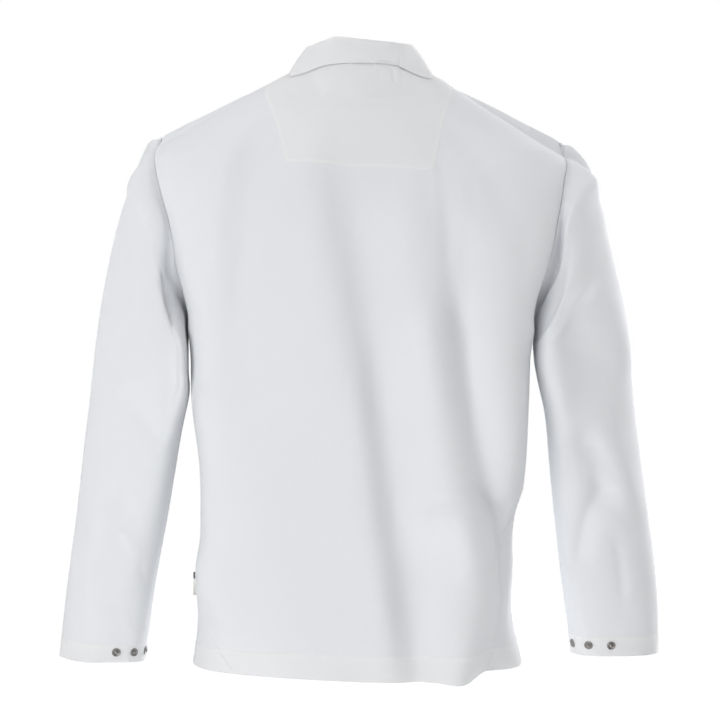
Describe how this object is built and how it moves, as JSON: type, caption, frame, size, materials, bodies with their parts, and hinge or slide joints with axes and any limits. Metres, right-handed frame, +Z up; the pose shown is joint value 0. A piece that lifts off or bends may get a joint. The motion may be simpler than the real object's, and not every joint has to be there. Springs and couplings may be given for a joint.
{
  "type": "pullover tunic",
  "caption": "Long-sleeved pullover work smock in plain white woven cloth, with a turn-down collar, a half-length front placket and snap caps at the cuffs, hollow and filled out as worn.",
  "frame": {"origin": "inside the neck, midway between the shoulder neck points, where the wearer's neck passes", "axes": "+Z up, -Y the way the front faces, +X to the wearer's left"},
  "size_m": [0.7397, 0.3024, 0.7604],
  "materials": {
    "white_cloth": "plain-weave cotton and polyester, matt",
    "label_tape": "woven tape, matt",
    "bright_metal": "nickel-plated, polished"
  },
  "bodies": {
    "root": {"back_panel": "white_cloth", "front_panel": "white_cloth", "sleeve_left": "white_cloth", "sleeve_right": "white_cloth", "collar_stand": "white_cloth", "collar_fall": "white_cloth", "neck_facing": "white_cloth", "placket_over": "white_cloth", "placket_under": "white_cloth", "side_label": "label_tape", "snap_left_1": "bright_metal", "snap_left_2": "bright_metal", "snap_left_3": "bright_metal", "snap_right_1": "bright_metal", "snap_right_2": "bright_metal", "snap_right_3": "bright_metal"}
  },
  "joints": []
}
